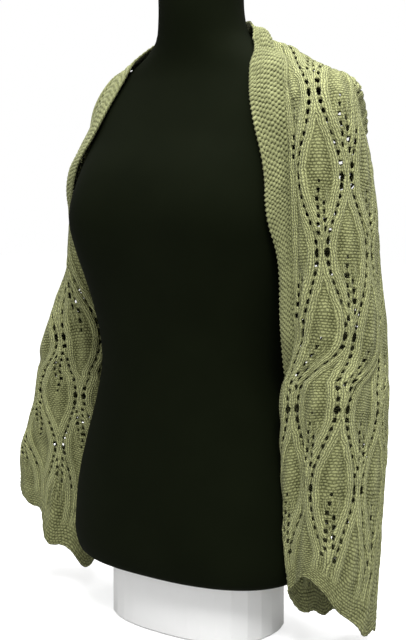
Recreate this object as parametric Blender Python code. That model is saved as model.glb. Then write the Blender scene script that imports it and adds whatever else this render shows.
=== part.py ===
"""Cuff-to-cuff knitted shrug on a limbless dress form.

Every solid is built from sizes here: the form and its foot from rings, the shrug
as one strip of cloth laid out by two coordinates.  "across" runs over the strip
from the band seam (0) to the lower edge (1), "along" runs from the centre back (0)
to the cuff (1).  Metres, +Z up, the front faces -Y, the garment's left is +X.
"""
import math

import bpy
import numpy as np

MM = 0.001
WALL = 3.0 * MM             # thickness of the cloth
RIB = 2.0 * MM              # how far a rib line stands off the cloth
JOIN = 0.2 * MM             # each piece stops this far short of a seam
CLEAR = 6.5 * MM            # middle of the cloth to the form
HALF_LENGTH = 0.83          # centre back to cuff
COLUMNS = 16                # lace columns across the strip
REPEAT = 0.238              # length of one lace repeat, in half lengths
LAST_CROSSING = 0.952       # where the odd columns close nearest the cuff
ROWS_A_REPEAT = 6
UNDERARM = 0.672            # where the opening ends and the sleeve seam starts
BAND_END = LAST_CROSSING - REPEAT * 9 / 6   # the band stops just short of the underarm
TURN_IN = 0.0163            # rib line to column line where they meet, of the width
SCALLOP = 0.018             # half the height of the cuff's waves
BAND_STEPS = 3
RING = 36                   # points in a ring of the form
FOOT_HEIGHT = 79.7 * MM
FOOT_SCALE = 0.70

# Form: height, half width, depth in front, depth behind, centre in y, squareness, bust
FORM_ROWS = (
    (80, 158, 100, 100, 0, 2.5, 0),
    (84, 167, 110, 110, 0, 2.5, 0),
    (95, 175, 118, 118, 0, 2.5, 0),
    (155, 177, 121, 124, 0, 2.5, 0),
    (200, 171, 117, 121, 0, 2.5, 0),
    (250, 160, 111, 116, 0, 2.4, 0),
    (300, 146, 107, 108, 0, 2.3, 0),
    (350, 134, 105, 102, 0, 2.3, 0),
    (390, 136, 107, 99, 0, 2.3, 1),
    (430, 145, 112, 98, 0, 2.3, 3),
    (465, 153, 119, 97, 1, 2.3, 7),
    (500, 160, 127, 96, 2, 2.3, 12),
    (545, 163, 133, 97, 3, 2.3, 17),
    (600, 164, 122, 98, 5, 2.3, 9),
    (650, 166, 97, 92, 10, 2.3, 1),
    (690, 166, 80, 80, 16, 2.2, 0),
    (712, 158, 70, 70, 19, 2.1, 0),
    (728, 143, 62, 64, 20, 2.1, 0),
    (743, 116, 57, 60, 19, 2.1, 0),
    (758, 88, 54, 58, 16, 2.0, 0),
    (775, 68, 53, 56, 13, 2.0, 0),
    (800, 59, 54, 55, 10, 2.0, 0),
    (850, 57, 55, 55, 8, 2.0, 0),
    (894, 57, 56, 56, 8, 2.0, 0),
    (902, 52, 51, 51, 8, 2.0, 0),
)
BUST_AT = 0.80              # radians from the front
BUST_WIDTH = 0.42

# Sections of the cloth, a row per place along the strip.  Each row is a curve through
# seam, inner front, front, ridge, outer front, outer, back, inner back and lower edge,
# in millimetres.  x is measured outward, so the right side is mirrored later.
CENTRE_BACK = ((0, 84, 752), (0, 96, 715), (0, 106, 660), (0, 110, 595), (0, 108, 530),
               (0, 108, 465), (0, 112, 400), (0, 119, 335), (0, 129, 268))
LEFT_ROWS = (
    (0.000, CENTRE_BACK),
    (0.120, ((90, 38, 770), (116, 58, 757), (138, 86, 724), (132, 105, 664), (118, 108, 592),
             (108, 106, 510), (98, 107, 435), (87, 112, 355), (72, 121, 280))),
    (0.180, ((122, 10, 728), (150, 6, 732), (180, 20, 730), (201, 46, 714), (205, 76, 674),
             (187, 98, 612), (159, 105, 518), (133, 108, 420), (99, 112, 300))),
    (0.240, ((154, -24, 690), (182, -33, 690), (210, -26, 692), (228, -2, 694), (222, 30, 688),
             (206, 74, 628), (174, 100, 525), (146, 103, 420), (121, 102, 312))),
    (0.360, ((174, -42, 590), (202, -52, 592), (230, -30, 592), (250, 2, 590), (244, 36, 582),
             (222, 68, 540), (196, 98, 478), (170, 103, 400), (143, 86, 322))),
    (0.480, ((181, -46, 497), (208, -56, 500), (240, -34, 502), (257, 0, 498), (251, 34, 488),
             (233, 78, 462), (210, 112, 428), (182, 106, 382), (156, 58, 336))),
    (0.600, ((184, -44, 400), (206, -56, 404), (238, -44, 403), (261, -8, 396), (258, 36, 388),
             (241, 82, 376), (220, 108, 360), (194, 72, 344), (163, 18, 346))),
    (0.672, ((170, -28, 338), (178, -55, 346), (210, -62, 350), (247, -46, 350), (267, -6, 343),
             (262, 42, 328), (230, 90, 308), (192, 60, 300), (170, -28, 338))),
    (0.800, ((172, -18, 229), (173, -50, 239), (208, -60, 249), (246, -48, 252), (268, -8, 248),
             (264, 38, 238), (228, 90, 222), (188, 96, 214), (172, -18, 229))),
    (0.900, ((186, -12, 146), (177, -53, 160), (211, -60, 170), (248, -46, 168), (268, -8, 152),
             (260, 34, 142), (228, 82, 130), (196, 92, 126), (186, -12, 146))),
    (1.000, ((186, -10, 56), (182, -52, 92), (214, -61, 118), (248, -42, 100), (262, -6, 54),
             (254, 36, 42), (227, 76, 38), (198, 78, 38), (186, -10, 56))),
)
RIGHT_ROWS = (
    (0.000, CENTRE_BACK),
    (0.120, ((88, 38, 762), (110, 60, 748), (126, 86, 716), (118, 103, 655), (108, 105, 578),
             (100, 105, 500), (94, 106, 425), (84, 112, 350), (72, 121, 280))),
    (0.180, ((124, 2, 722), (140, 12, 728), (158, 26, 722), (174, 52, 706), (180, 80, 668),
             (170, 97, 600), (150, 104, 510), (128, 108, 415), (98, 112, 298))),
    (0.240, ((150, -28, 676), (166, -12, 684), (176, 8, 690), (194, 34, 688), (200, 66, 662),
             (188, 90, 598), (162, 100, 505), (140, 103, 410), (118, 102, 308))),
    (0.360, ((178, -56, 590), (190, -40, 592), (206, -12, 590), (228, 22, 586), (240, 52, 570),
             (226, 84, 530), (200, 104, 468), (170, 104, 392), (142, 88, 316))),
    (0.480, ((172, -22, 490), (190, -32, 494), (208, -28, 496), (225, -8, 496), (246, 20, 490),
             (262, 56, 476), (246, 98, 446), (204, 116, 388), (155, 70, 322))),
    (0.600, ((163, 16, 378), (178, -10, 374), (198, -26, 371), (222, -38, 367), (250, -42, 360),
             (283, 0, 354), (291, 56, 350), (252, 112, 340), (163, 50, 322))),
    (0.672, ((168, 18, 312), (182, -10, 315), (213, -33, 317), (249, -45, 319), (281, -14, 319),
             (295, 36, 312), (270, 96, 298), (212, 90, 284), (168, 18, 312))),
    (0.800, ((178, 22, 220), (188, -10, 227), (215, -34, 235), (250, -44, 242), (283, -38, 246),
             (306, 0, 245), (305, 52, 233), (232, 100, 210), (178, 22, 220))),
    (0.900, ((188, 20, 136), (192, -14, 150), (222, -38, 168), (256, -40, 186), (293, -50, 198),
             (317, -6, 194), (304, 56, 170), (236, 92, 134), (188, 20, 136))),
    (1.000, ((204, 12, 42), (213, -30, 62), (237, -50, 88), (266, -37, 120), (303, -43, 139),
             (324, 4, 131), (302, 62, 103), (248, 80, 58), (204, 12, 42))),
)
# Band beside the seam: along, middle, free edge, then middle and free edge of the lower band
LEFT_BANDS = (
    (0.000, (0, 79, 776), (0, 76, 799), (0, 134, 246), (0, 134, 222)),
    (0.060, (46, 61, 782), (44, 56, 801), (38, 131, 250), (38, 131, 226)),
    (0.090, (70, 47, 786), (68, 36, 790), (57, 128, 254), (57, 128, 230)),
    (0.120, (88, 27, 782), (83, 9, 766), (75, 125, 258), (76, 125, 234)),
    (0.180, (116, -7, 735), (103, -20, 714), (102, 116, 278), (104, 116, 255)),
    (0.240, (139, -38, 694), (119, -46, 686), (125, 106, 290), (128, 106, 267)),
    (0.360, (168, -58, 590), (154, -68, 590), (149, 90, 300), (152, 91, 277)),
    (0.420, (174, -62, 545), (163, -73, 545), (155, 76, 308), (158, 77, 286)),
    (0.480, (177, -56, 497), (167, -56, 497), (160, 59, 314), (163, 59, 293)),
    (0.600, (177, -51, 401), (168, -48, 401), (162, 15, 336), (161, 13, 326)),
    (0.672, (166, -27, 339), (161, -26, 340), (166, -27, 339), (161, -26, 340)),
)
RIGHT_BANDS = (
    (0.000, (0, 79, 776), (0, 76, 799), (0, 134, 246), (0, 134, 222)),
    (0.060, (46, 61, 782), (44, 56, 801), (38, 131, 250), (38, 131, 226)),
    (0.090, (70, 48, 784), (69, 39, 791), (57, 128, 254), (57, 128, 230)),
    (0.120, (87, 28, 779), (83, 10, 764), (75, 125, 258), (76, 125, 234)),
    (0.180, (116, -11, 725), (103, -26, 708), (101, 116, 276), (103, 116, 253)),
    (0.240, (135, -43, 678), (117, -56, 670), (122, 106, 286), (125, 106, 263)),
    (0.360, (168, -70, 590), (150, -78, 588), (148, 92, 293), (151, 93, 270)),
    (0.480, (170, -40, 488), (160, -54, 486), (159, 72, 299), (162, 72, 276)),
    (0.600, (161, 6, 378), (158, -6, 378), (163, 48, 312), (162, 46, 302)),
    (0.672, (164, 17, 313), (159, 16, 314), (164, 17, 313), (159, 16, 314)),
)
# Cloth laid out from the seam before it turns to the back: along, left, right (metres)
SPREAD = (
    (0.000, 0.490, 0.490),
    (0.180, 0.500, 0.490),
    (0.240, 0.515, 0.490),
    (0.360, 0.515, 0.500),
    (0.480, 0.515, 0.510),
    (0.600, 0.515, 0.510),
    (0.672, 0.530, 0.540),
    (0.800, 0.520, 0.540),
    (0.900, 0.520, 0.530),
    (1.000, 0.570, 0.570),
)
# Folds: across where it starts, across at the cuff, along it starts, along it is full, depth, half width
LEFT_FOLDS = (
    (0.112, 0.128, 0.62, 0.76, -9, 0.028),
    (0.300, 0.330, 0.50, 0.75, -5, 0.030),
    (0.205, 0.215, 0.42, 0.60, 4, 0.030),
    (0.560, 0.600, 0.30, 0.60, -7, 0.035),
    (0.740, 0.720, 0.35, 0.65, -6, 0.040),
    (0.660, 0.660, 0.30, 0.60, 6, 0.035),
)
RIGHT_FOLDS = (
    (0.112, 0.120, 0.55, 0.75, -6, 0.030),
    (0.300, 0.320, 0.45, 0.75, -5, 0.030),
    (0.540, 0.580, 0.30, 0.60, -9, 0.035),
    (0.720, 0.720, 0.35, 0.65, -9, 0.035),
    (0.640, 0.650, 0.30, 0.60, 6, 0.035),
)


def through(stations, values, wanted):
    """Smooth curve through a table's values, read at the wanted stations."""
    span = np.diff(stations)
    shape = (-1,) + (1,) * (values.ndim - 1)
    slope = np.diff(values, axis=0) / span.reshape(shape)
    tangent = np.concatenate([slope[:1], (slope[1:] + slope[:-1]) / 2, slope[-1:]])
    place = np.clip(np.searchsorted(stations, wanted, side="right") - 1, 0, len(stations) - 2)
    step = span[place]
    part = ((wanted - stations[place]) / step).reshape(shape)
    step = step.reshape(shape)
    before = values[place]
    after = values[place + 1]
    return (before * (2 * part**3 - 3 * part**2 + 1)
            + after * (3 * part**2 - 2 * part**3)
            + tangent[place] * step * (part**3 - 2 * part**2 + part)
            + tangent[place + 1] * step * (part**3 - part**2))


def ease(value, start, end):
    """Slow start and slow end from 0 to 1."""
    part = np.clip((value - start) / (end - start), 0, 1)
    return part * part * (3 - 2 * part)


def unit(vectors):
    """Vectors of length one."""
    return vectors / np.linalg.norm(vectors, axis=-1, keepdims=True)


# ------------------------------------------------------------------ the form
FORM_TABLE = np.array(FORM_ROWS, float)


def form_size(height):
    """The form's row of sizes at a height in metres."""
    row = through(FORM_TABLE[:, 0] * MM, FORM_TABLE[:, 1:], np.atleast_1d(height))
    return row


def form_radius(angle, height):
    """Distance from the form's axis to its skin.  Angle 0 is its left, -pi/2 the front."""
    row = form_size(height)
    width = row[:, 0] * MM
    depth = np.where(np.sin(angle) < 0, row[:, 1], row[:, 2]) * MM
    power = row[:, 4]
    radius = (np.abs(np.cos(angle) / width) ** power + np.abs(np.sin(angle) / depth) ** power) ** (-1 / power)
    front = -math.pi / 2
    lobes = np.exp(-(((angle - front - BUST_AT) / BUST_WIDTH) ** 2))
    lobes = lobes + np.exp(-(((angle - front + BUST_AT) / BUST_WIDTH) ** 2))
    return radius + row[:, 5] * MM * lobes


def outside_form(points):
    """How far points lie outside the form, about."""
    height = np.clip(points[:, 2], 0.081, 0.899)
    centre = form_size(height)[:, 3] * MM
    reach_y = points[:, 1] - centre
    angle = np.arctan2(reach_y, points[:, 0])
    angle = np.where(angle > math.pi / 2, angle - 2 * math.pi, angle)
    reach = np.hypot(points[:, 0], reach_y)
    skin = form_radius(angle, height)
    lower = form_radius(angle, height - 0.004)
    upper = form_radius(angle, height + 0.004)
    slope = (upper - lower) / 0.008
    return (reach - skin) / np.sqrt(1 + slope * slope)


def clear_of_form(points, gap):
    """Push points out until they are the gap away from the form."""
    flat = points.reshape(-1, 3).copy()
    step = 1.0 * MM
    for _ in range(5):
        now = outside_form(flat)
        near = np.where(now < gap + 0.004)[0]
        if len(near) == 0:
            break
        spot = flat[near]
        grown = []
        for axis in range(3):
            moved = spot.copy()
            moved[:, axis] += step
            grown.append(outside_form(moved) - now[near])
        away = unit(np.stack(grown, axis=-1))
        short = gap - now[near]
        push = np.where(short > 0, short, 0.0)
        flat[near] = spot + away * push[:, None]
    return flat.reshape(points.shape)


# ------------------------------------------------------------------ the cloth
LATTICE_ALONG = np.linspace(0, 1.04, 131)
LATTICE_ACROSS = np.linspace(0, 1, 129)


def section_lattice(rows, spread_column):
    """Middle of the cloth on an even lattice of along and across, before folds."""
    stations = np.array([row[0] for row in rows])
    corners = np.array([row[1] for row in rows], float) * MM
    wanted = np.minimum(LATTICE_ALONG, 1.0)
    sections = through(stations, corners, wanted)
    run_out = (sections[wanted >= 1.0][:1] - through(stations, corners, np.array([0.99]))) / 0.01
    beyond = np.maximum(LATTICE_ALONG - 1.0, 0)
    sections = sections + beyond[:, None, None] * run_out
    spread_table = np.array(SPREAD)
    spread = np.interp(wanted, spread_table[:, 0], spread_table[:, spread_column])
    count = sections.shape[1]
    fine = np.linspace(0, count - 1, 241)
    lattice = []
    for along, section, laid in zip(LATTICE_ALONG, sections, spread):
        closed = along >= UNDERARM - 0.001
        if closed:
            section[0] = (section[0] + section[-1]) / 2
            section[-1] = section[0]
        curve = closed_or_open(section, fine, closed)
        length = np.concatenate([[0], np.linalg.norm(np.diff(curve, axis=0), axis=1).cumsum()])
        first = min(0.35 * laid, 0.6 * length[-1])
        distance = np.interp(LATTICE_ACROSS, (0, 0.35, 1), (0, first, length[-1]))
        spots = [np.interp(distance, length, curve[:, axis]) for axis in range(3)]
        lattice.append(np.stack(spots, axis=-1))
    return np.array(lattice)


def closed_or_open(section, fine, closed):
    """Smooth curve through a section's points; a closed one is smooth at its seam too."""
    steps = np.diff(section, axis=0)
    tangent = np.concatenate([steps[:1], (steps[1:] + steps[:-1]) / 2, steps[-1:]])
    if closed:
        tangent[0] = (steps[0] + steps[-1]) / 2
        tangent[-1] = tangent[0]
    place = np.clip(fine.astype(int), 0, len(section) - 2)
    part = (fine - place)[:, None]
    return (section[place] * (2 * part**3 - 3 * part**2 + 1)
            + section[place + 1] * (3 * part**2 - 2 * part**3)
            + tangent[place] * (part**3 - 2 * part**2 + part)
            + tangent[place + 1] * (part**3 - part**2))


LATTICES = {
    "left": section_lattice(LEFT_ROWS, 1),
    "right": section_lattice(RIGHT_ROWS, 2),
}
FOLDS = {"left": LEFT_FOLDS, "right": RIGHT_FOLDS}
BANDS = {"left": LEFT_BANDS, "right": RIGHT_BANDS}
SIGN = {"left": 1.0, "right": -1.0}


def cuff_wave(across, along):
    """How far the cuff's waves move a point, in half lengths: arches under the odd columns."""
    tip = 1 - 2 * np.abs(np.sin(math.pi * 8 * (across - 1 / 32)))
    return SCALLOP / HALF_LENGTH * tip * ease(along, 0.86, 1.0)


def catmull(before, start, end, after, part):
    """Smooth step between two lattice values."""
    return 0.5 * (2 * start + (end - before) * part
                  + (2 * before - 5 * start + 4 * end - after) * part**2
                  + (3 * start - before - 3 * end + after) * part**3)


def read_lattice(lattice, across, along):
    """Lattice position at any across and along."""
    rows = len(LATTICE_ALONG)
    columns = len(LATTICE_ACROSS)
    row = np.clip(along / LATTICE_ALONG[-1], 0, 1) * (rows - 1)
    column = np.clip(across, 0, 1) * (columns - 1)
    row_at = np.clip(row.astype(int), 0, rows - 2)
    column_at = np.clip(column.astype(int), 0, columns - 2)
    row_part = (row - row_at)[..., None]
    column_part = (column - column_at)[..., None]
    lines = []
    for row_step in (-1, 0, 1, 2):
        line_at = np.clip(row_at + row_step, 0, rows - 1)
        four = [lattice[line_at, np.clip(column_at + step, 0, columns - 1)] for step in (-1, 0, 1, 2)]
        lines.append(catmull(*four, column_part))
    return catmull(*lines, row_part)


def bare_cloth(side, across, along):
    """Middle of the cloth before its folds, x outward."""
    return read_lattice(LATTICES[side], across, along + cuff_wave(across, along))


def fold_height(side, across, along):
    """How far the folds lift the cloth, in metres."""
    lift = np.zeros(np.shape(across))
    for start, end, begins, full, depth, width in FOLDS[side]:
        centre = start + (end - start) * ease(along, begins, 1.0)
        lift = lift + depth * MM * ease(along, begins, full) * np.exp(-(((across - centre) / width) ** 2))
    return lift


def slope_normal(surface, across, along, limits):
    """Outward direction of a surface given as a function of across and along."""
    step = 0.004
    low, high, first, last = limits
    here = surface(np.minimum(across + step, high), along) - surface(np.maximum(across - step, low), along)
    there = surface(across, np.minimum(along + step, last)) - surface(across, np.maximum(along - step, first))
    return unit(np.cross(there, here))


def cloth_middle(side, across, along):
    """Middle of the folded cloth, clear of the form, x outward."""
    def bare(a, b):
        return bare_cloth(side, a, b)
    spot = bare(across, along)
    normal = slope_normal(bare, across, along, (0, 1, 0, 1))
    spot = spot + normal * fold_height(side, across, along)[..., None]
    spot = clear_of_form(spot, CLEAR)
    spot[..., 0] = np.where(along < 1e-6, 0.0, spot[..., 0])
    return spot


def band_middle(side, lower, out, along):
    """Middle of the band, out 0 at its seam and 1 at its free edge, x outward."""
    table = BANDS[side]
    stations = np.array([row[0] for row in table])
    pick = (3, 4) if lower else (1, 2)
    middle = np.array([row[pick[0]] for row in table], float) * MM
    edge = np.array([row[pick[1]] for row in table], float) * MM
    flat_along = np.ravel(along)
    middle = through(stations, middle, flat_along).reshape(np.shape(along) + (3,))
    edge = through(stations, edge, flat_along).reshape(np.shape(along) + (3,))
    seam = cloth_middle(side, np.full(np.shape(along), 1.0 if lower else 0.0), along)
    part = out[..., None]
    start = 2 * middle - (seam + edge) / 2
    spot = seam * (1 - part) ** 2 + 2 * part * (1 - part) * start + edge * part**2
    spot = clear_of_form(spot, CLEAR)
    spot[..., 0] = np.where(along < 1e-6, 0.0, spot[..., 0])
    return spot


def cloth_normal(side, across, along):
    """Outward direction of the cloth."""
    def surface(a, b):
        return cloth_middle(side, a, b)
    normal = slope_normal(surface, across, along, (0, 1, 0, 1))
    return level_at_back(normal, along)


def band_normal(side, lower, out, along):
    """Outward direction of the band."""
    def surface(a, b):
        return band_middle(side, lower, a, b)
    normal = slope_normal(surface, out, along, (0, 1, 0, BAND_END))
    if not lower:
        normal = -normal
    return level_at_back(normal, along)


def level_at_back(normal, along):
    """On the centre back both halves share one direction."""
    normal = normal.copy()
    normal[..., 0] = np.where(along < 1e-6, 0.0, normal[..., 0])
    return unit(normal)


def shared_cloth_normal(side, across, along):
    """Cloth direction, shared with the piece on the other side of each seam."""
    normal = cloth_normal(side, across, along)
    one = np.ones(np.shape(along))
    on_band = along < BAND_END + 1e-6
    band_along = np.minimum(along, BAND_END)
    upper = band_normal(side, False, one * 0, band_along)
    lower = band_normal(side, True, one * 0, band_along)
    first = cloth_normal(side, one * 0, along)
    last = cloth_normal(side, one, along)
    at_first = across < 1e-6
    at_last = across > 1 - 1e-6
    closed = along > UNDERARM - 1e-6
    beside_first = np.where(on_band[..., None], upper, 0) + np.where(closed[..., None], last, 0)
    beside_last = np.where(on_band[..., None], lower, 0) + np.where(closed[..., None], first, 0)
    normal = np.where(at_first[..., None], first + beside_first, normal)
    normal = np.where(at_last[..., None], last + beside_last, normal)
    return unit(normal)


def shared_band_normal(side, lower, out, along):
    """Band direction, shared with the cloth at the seam."""
    normal = band_normal(side, lower, out, along)
    at_seam = out < 1e-6
    cloth = shared_cloth_normal(side, np.full(np.shape(along), 1.0 if lower else 0.0), along)
    return np.where(at_seam[..., None], cloth, normal)


# ------------------------------------------------------------------ the lace
def column_at(number):
    """Where a lace column runs, across."""
    return (number + 0.5) / COLUMNS


def rib_at(number, along):
    """The rib line between a column and the next one: it swings from one to the other."""
    turn = np.cos(2 * math.pi * (LAST_CROSSING - along) / REPEAT)
    swing = 0.5 / COLUMNS - TURN_IN
    toward = -1.0 if number % 2 == 1 else 1.0
    return (number + 1) / COLUMNS + toward * swing * turn


def along_lines():
    """Rows of the grid from the centre back to the cuff."""
    step = REPEAT / ROWS_A_REPEAT
    count = round(LAST_CROSSING / step)
    lines = [LAST_CROSSING - step * (count - number) for number in range(count + 1)]
    lines[0] = 0.0
    lines.append(1.0)
    place = int(np.argmin([abs(line - UNDERARM) for line in lines]))
    lines[place] = UNDERARM
    return np.array(lines)


def crossing_rows(number):
    """Places along a column where its two rib lines meet."""
    first = LAST_CROSSING if number % 2 == 1 else LAST_CROSSING - REPEAT / 2
    return [first - REPEAT * step for step in range(4)]


def sheet_object(name, outer, inner, holes, colour):
    """Closed solid from two grids of points, with square holes through chosen cells."""
    rows, columns = outer.shape[:2]
    points = [tuple(spot) for spot in outer.reshape(-1, 3)]
    points += [tuple(spot) for spot in inner.reshape(-1, 3)]
    back = rows * columns
    faces = []
    for row in range(rows - 1):
        for column in range(columns - 1):
            ring = (row * columns + column, row * columns + column + 1,
                    (row + 1) * columns + column + 1, (row + 1) * columns + column)
            window = holes.get((row, column))
            if window is None:
                for face in split_square(points, ring):
                    faces.append(face)
                    faces.append(tuple(back + spot for spot in reversed(face)))
                continue
            outer_ring = add_window(points, ring, window)
            inner_ring = add_window(points, tuple(back + spot for spot in ring), window)
            for side in range(4):
                after = (side + 1) % 4
                faces.append((ring[side], ring[after], outer_ring[after]))
                faces.append((ring[side], outer_ring[after], outer_ring[side]))
                faces.append((back + ring[after], back + ring[side], inner_ring[after]))
                faces.append((back + ring[side], inner_ring[side], inner_ring[after]))
                faces.append((outer_ring[side], outer_ring[after], inner_ring[after], inner_ring[side]))
    border = [(0, column) for column in range(columns - 1)]
    border += [(row, columns - 1) for row in range(rows - 1)]
    border += [(rows - 1, column) for column in range(columns - 1, 0, -1)]
    border += [(row, 0) for row in range(rows - 1, 0, -1)]
    numbers = [row * columns + column for row, column in border]
    for place, spot in enumerate(numbers):
        after = numbers[(place + 1) % len(numbers)]
        low = min(spot, after)
        high = max(spot, after)
        if spot == low:
            faces.append((high, low, back + high))
            faces.append((low, back + low, back + high))
        else:
            faces.append((low, high, back + high))
            faces.append((low, back + high, back + low))
    return add_object(name, points, faces, colour)


def split_square(points, ring):
    """Two triangles over the shorter diagonal, used for both faces of the cloth."""
    first = math.dist(points[ring[0]], points[ring[2]])
    second = math.dist(points[ring[1]], points[ring[3]])
    if first < second:
        return ((ring[0], ring[1], ring[2]), (ring[0], ring[2], ring[3]))
    return ((ring[0], ring[1], ring[3]), (ring[1], ring[2], ring[3]))


def add_window(points, ring, window):
    """Four points inside a cell, from shares of its sides."""
    left, right, low, high = window
    corners = [np.array(points[spot]) for spot in ring]
    numbers = []
    for across, along in ((left, low), (right, low), (right, high), (left, high)):
        near = corners[0] * (1 - across) + corners[1] * across
        far = corners[3] * (1 - across) + corners[2] * across
        points.append(tuple(near * (1 - along) + far * along))
        numbers.append(len(points) - 1)
    return numbers


def add_object(name, points, faces, colour):
    """Object with its own material, faces pointing outward."""
    mesh = bpy.data.meshes.new(name)
    mesh.from_pydata(points, [], faces)
    mesh.update()
    if signed_volume(mesh) < 0:
        mesh.flip_normals()
    material = bpy.data.materials.new(name + "_material")
    material.use_nodes = True
    shader = material.node_tree.nodes["Principled BSDF"]
    shader.inputs["Base Color"].default_value = colour
    shader.inputs["Roughness"].default_value = 0.9
    mesh.materials.append(material)
    item = bpy.data.objects.new(name, mesh)
    bpy.context.scene.collection.objects.link(item)
    return item


def signed_volume(mesh):
    """Volume of a closed mesh, negative when its faces point inward."""
    total = 0.0
    for face in mesh.polygons:
        spots = [mesh.vertices[number].co for number in face.vertices]
        for place in range(1, len(spots) - 1):
            total += spots[0].dot(spots[place].cross(spots[place + 1])) / 6
    return total


def pull_in(middle, rows_first, rows_last, columns_first, columns_last):
    """Stop the chosen edges of a grid short of their seams."""
    moved = middle.copy()
    if rows_first:
        moved[0] += unit(middle[1] - middle[0]) * JOIN
    if rows_last:
        moved[-1] += unit(middle[-2] - middle[-1]) * JOIN
    if columns_first:
        moved[:, 0] += unit(middle[:, 1] - middle[:, 0]) * JOIN
    if columns_last:
        moved[:, -1] += unit(middle[:, -2] - middle[:, -1]) * JOIN
    return moved


def mirrored(grid, side):
    """The right side is the left side's mirror."""
    return grid * np.array([SIGN[side], 1.0, 1.0])


def build_panel(side, name, first_column, colour):
    """Half the strip's width on one side: eight lace columns from the centre back to the cuff."""
    lines = along_lines()
    start = first_column / COLUMNS
    end = start + 0.5
    across = []
    for number in range(first_column, first_column + 8):
        across.append(np.full(len(lines), column_at(number)))
        across.append(rib_at(number, lines))
    across[-1] = np.full(len(lines), end)
    across = np.array([np.full(len(lines), start)] + across).T
    along = np.repeat(lines[:, None], across.shape[1], axis=1)
    middle = cloth_middle(side, across, along)
    normal = shared_cloth_normal(side, across, along)
    middle = pull_in(middle, True, False, True, True)
    rib = np.zeros(across.shape[1])
    rib[2:-1:2] = RIB
    outer = middle + normal * (WALL / 2 + rib)[None, :, None]
    inner = middle - normal * (WALL / 2)
    holes = {}
    for number in range(8):
        for crossing in crossing_rows(first_column + number):
            row = int(np.argmin(np.abs(lines - crossing))) - 1
            left = 2 * number
            holes[(row, left)] = (0.22, 0.80, 0.66, 0.86)
            holes[(row, left + 1)] = (0.20, 0.78, 0.66, 0.86)
    return sheet_object(name, mirrored(outer, side), mirrored(inner, side), holes, colour)


def build_band(side, name, lower, colour):
    """Strip beside the opening, from the centre back to the underarm."""
    lines = along_lines()
    lines = lines[lines < BAND_END + 1e-6]
    out = np.repeat(np.linspace(0, 1, BAND_STEPS + 1)[None, :], len(lines), axis=0)
    along = np.repeat(lines[:, None], BAND_STEPS + 1, axis=1)
    middle = band_middle(side, lower, out, along)
    normal = shared_band_normal(side, lower, out, along)
    middle = pull_in(middle, True, True, True, False)
    outer = middle + normal * (WALL / 2)
    inner = middle - normal * (WALL / 2)
    return sheet_object(name, mirrored(outer, side), mirrored(inner, side), {}, colour)


def ring_object(name, rings, colour):
    """Closed solid through a stack of rings."""
    count = len(rings[0])
    points = [tuple(spot) for ring in rings for spot in ring]
    faces = []
    for level in range(len(rings) - 1):
        for place in range(count):
            after = (place + 1) % count
            low = level * count
            high = low + count
            faces.append((low + place, low + after, high + after, high + place))
    bottom = tuple(range(count))
    top = tuple((len(rings) - 1) * count + place for place in range(count))
    faces.append(tuple(reversed(bottom)))
    faces.append(top)
    return add_object(name, points, faces, colour)


def build_form(colour):
    """The dress form's body, closed by a flat base and a low cap on the neck."""
    angle = np.linspace(-math.pi * 1.5, math.pi / 2, RING, endpoint=False)
    rings = []
    for row in FORM_ROWS:
        height = np.full(RING, row[0] * MM)
        radius = form_radius(angle, height)
        rings.append(np.stack([radius * np.cos(angle), radius * np.sin(angle) + row[4] * MM, height], axis=-1))
    return ring_object("dress_form", rings, colour)


def build_foot(colour):
    """Plain oval block set back under the form."""
    angle = np.linspace(0, 2 * math.pi, RING, endpoint=False)
    rings = []
    for height, inset in ((0.0, 3 * MM), (3 * MM, 0.0), (FOOT_HEIGHT, 0.0)):
        wide = 0.177 * FOOT_SCALE - inset
        deep = 0.120 * FOOT_SCALE - inset
        power = 2.5
        radius = (np.abs(np.cos(angle) / wide) ** power + np.abs(np.sin(angle) / deep) ** power) ** (-1 / power)
        rings.append(np.stack([radius * np.cos(angle), radius * np.sin(angle), np.full(RING, height)], axis=-1))
    return ring_object("form_foot", rings, colour)


for item in list(bpy.data.objects):
    bpy.data.objects.remove(item, do_unlink=True)

CLOTH_COLOUR = (0.24, 0.25, 0.11, 1.0)
BAND_COLOUR = (0.26, 0.27, 0.13, 1.0)
FORM_COLOUR = (0.014, 0.018, 0.010, 1.0)
FOOT_COLOUR = (0.70, 0.69, 0.66, 1.0)

build_form(FORM_COLOUR)
build_foot(FOOT_COLOUR)
for side in ("left", "right"):
    build_panel(side, side + "_front", 0, CLOTH_COLOUR)
    build_panel(side, side + "_back", 8, CLOTH_COLOUR)
    build_band(side, side + "_front_band", False, BAND_COLOUR)
    build_band(side, side + "_hem_band", True, BAND_COLOUR)
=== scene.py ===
"""Looks of a cuff-to-cuff knitted shrug on its dress form.

Each knitted piece is a fine grid laid out by two coordinates, as the solids are:
"across" runs over the strip from the band seam (0) to the lower edge (1), "along"
runs from the centre back (0) to the cuff (1).  Metres, +Z up, the front faces -Y.
"""
import math

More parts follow.
